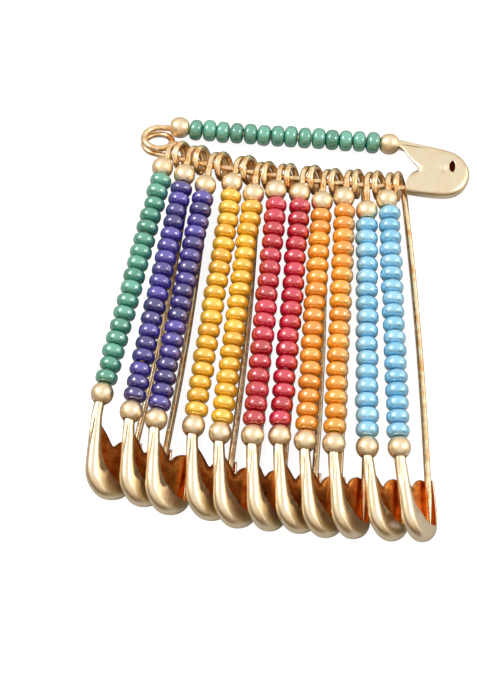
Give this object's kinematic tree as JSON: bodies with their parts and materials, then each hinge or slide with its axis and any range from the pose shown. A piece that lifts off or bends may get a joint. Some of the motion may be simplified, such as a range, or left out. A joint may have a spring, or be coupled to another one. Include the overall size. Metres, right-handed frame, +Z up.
{
  "type": "safety pin brooch",
  "caption": "Brooch of one large safety pin with smaller beaded safety pins hanging side by side from its sharp arm, lying flat with all its pins closed.",
  "frame": {"origin": "middle of the bounding box, on the surface that the brooch lies on", "axes": "+X along the large pin from its coil to its cap, +Y from the hanging caps to the large pin, +Z up from the surface"},
  "size_m": [0.0502, 0.0608, 0.0084],
  "materials": {
    "gold_wire": "polished",
    "gold_cap": "polished, slightly worn",
    "gold_bead": "satin",
    "sea_green": "opaque lustre glass",
    "violet_blue": "opaque lustre glass",
    "golden_yellow": "opaque lustre glass",
    "crimson": "opaque lustre glass",
    "orange": "opaque lustre glass",
    "light_blue": "opaque lustre glass"
  },
  "bodies": {
    "pins": {"bar_coil_arm": "gold_wire", "pin_01_wire": "gold_wire", "pin_01_cap": "gold_cap", "pin_01_beads": "sea_green", "pin_01_spacers": "gold_bead", "pin_02_wire": "gold_wire", "pin_02_cap": "gold_cap", "pin_02_beads": "violet_blue", "pin_02_spacers": "gold_bead", "pin_03_wire": "gold_wire", "pin_03_cap": "gold_cap", "pin_03_beads": "violet_blue", "pin_03_spacers": "gold_bead", "pin_04_wire": "gold_wire", "pin_04_cap": "gold_cap", "pin_04_beads": "golden_yellow", "pin_04_spacers": "gold_bead", "pin_05_wire": "gold_wire", "pin_05_cap": "gold_cap", "pin_05_beads": "golden_yellow", "pin_05_spacers": "gold_bead", "pin_06_wire": "gold_wire", "pin_06_cap": "gold_cap", "pin_06_beads": "crimson", "pin_06_spacers": "gold_bead", "pin_07_wire": "gold_wire", "pin_07_cap": "gold_cap", "pin_07_beads": "crimson", "pin_07_spacers": "gold_bead", "pin_08_wire": "gold_wire", "pin_08_cap": "gold_cap", "pin_08_beads": "orange", "pin_08_spacers": "gold_bead", "pin_09_wire": "gold_wire", "pin_09_cap": "gold_cap", "pin_09_beads": "orange", "pin_09_spacers": "gold_bead", "pin_10_wire": "gold_wire", "pin_10_cap": "gold_cap", "pin_10_beads": "light_blue", "pin_10_spacers": "gold_bead", "pin_11_wire": "gold_wire", "pin_11_cap": "gold_cap", "pin_11_beads": "light_blue", "pin_11_spacers": "gold_bead"},
    "catch_arm": {"bar_arm": "gold_wire", "bar_cap": "gold_cap", "bar_beads": "sea_green", "bar_spacers": "gold_bead"}
  },
  "joints": [
    {"name": "catch", "type": "hinge", "parent": "pins", "child": "catch_arm", "pos_m": [-0.02025, 0.02879, 0.00165], "axis": [0, -0.9962, 0.0872], "range_deg": [0, 10]}
  ]
}
